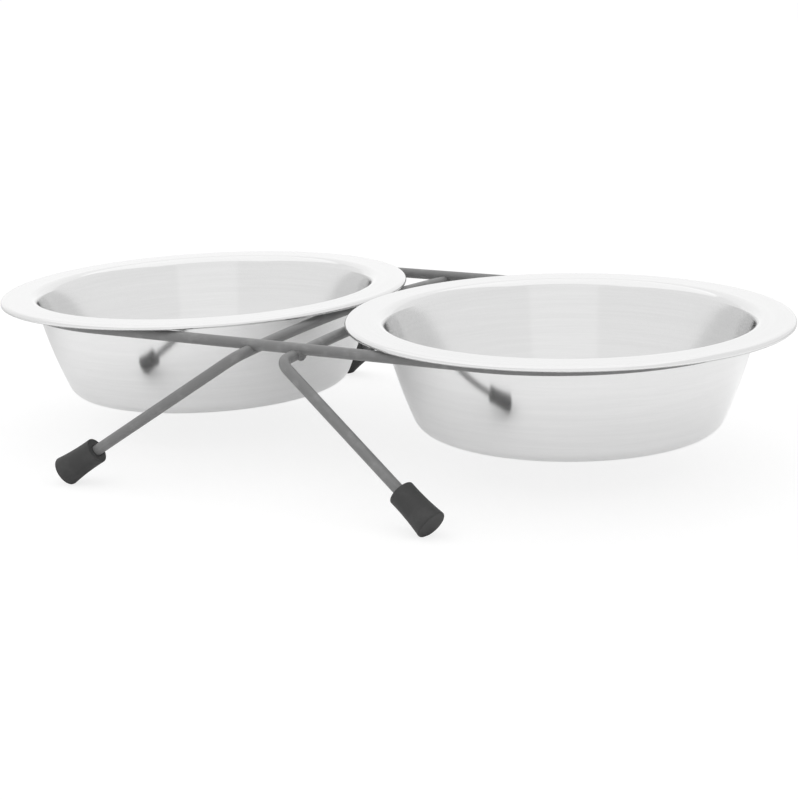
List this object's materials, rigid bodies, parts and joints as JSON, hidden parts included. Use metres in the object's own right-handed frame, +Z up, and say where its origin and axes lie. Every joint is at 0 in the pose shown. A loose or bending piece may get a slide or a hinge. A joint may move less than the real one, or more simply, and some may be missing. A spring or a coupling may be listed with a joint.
{
  "type": "double bowl feeder stand",
  "caption": "Low wire stand with splayed legs on rubber feet that holds shallow steel pet bowls side by side by their rims; the bowls lift out.",
  "frame": {"origin": "on the floor, under the middle of the stand", "axes": "+X from the left bowl to the right bowl, +Y from front to rear, +Z up"},
  "size_m": [0.3206, 0.1996, 0.057],
  "materials": {
    "bowl": "spun stainless sheet with a fine satin polish",
    "wire": "satin mid-grey coating on steel wire",
    "weld": "the same coating over a rough weld bead",
    "foot": "moulded dark rubber, matt"
  },
  "bodies": {
    "stand": {"support_loop": "wire", "left_leg_wire": "wire", "right_leg_wire": "wire", "weld_beads": "weld", "front_left_foot": "foot", "front_right_foot": "foot", "rear_left_foot": "foot", "rear_right_foot": "foot"},
    "left_bowl": {"left_bowl": "bowl"},
    "right_bowl": {"right_bowl": "bowl"}
  },
  "joints": [
    {"name": "left_bowl_lift", "type": "slide", "parent": "stand", "child": "left_bowl", "axis": [0, 0, 1], "range_m": [0, 0.06]},
    {"name": "right_bowl_lift", "type": "slide", "parent": "stand", "child": "right_bowl", "axis": [0, 0, 1], "range_m": [0, 0.06]}
  ]
}
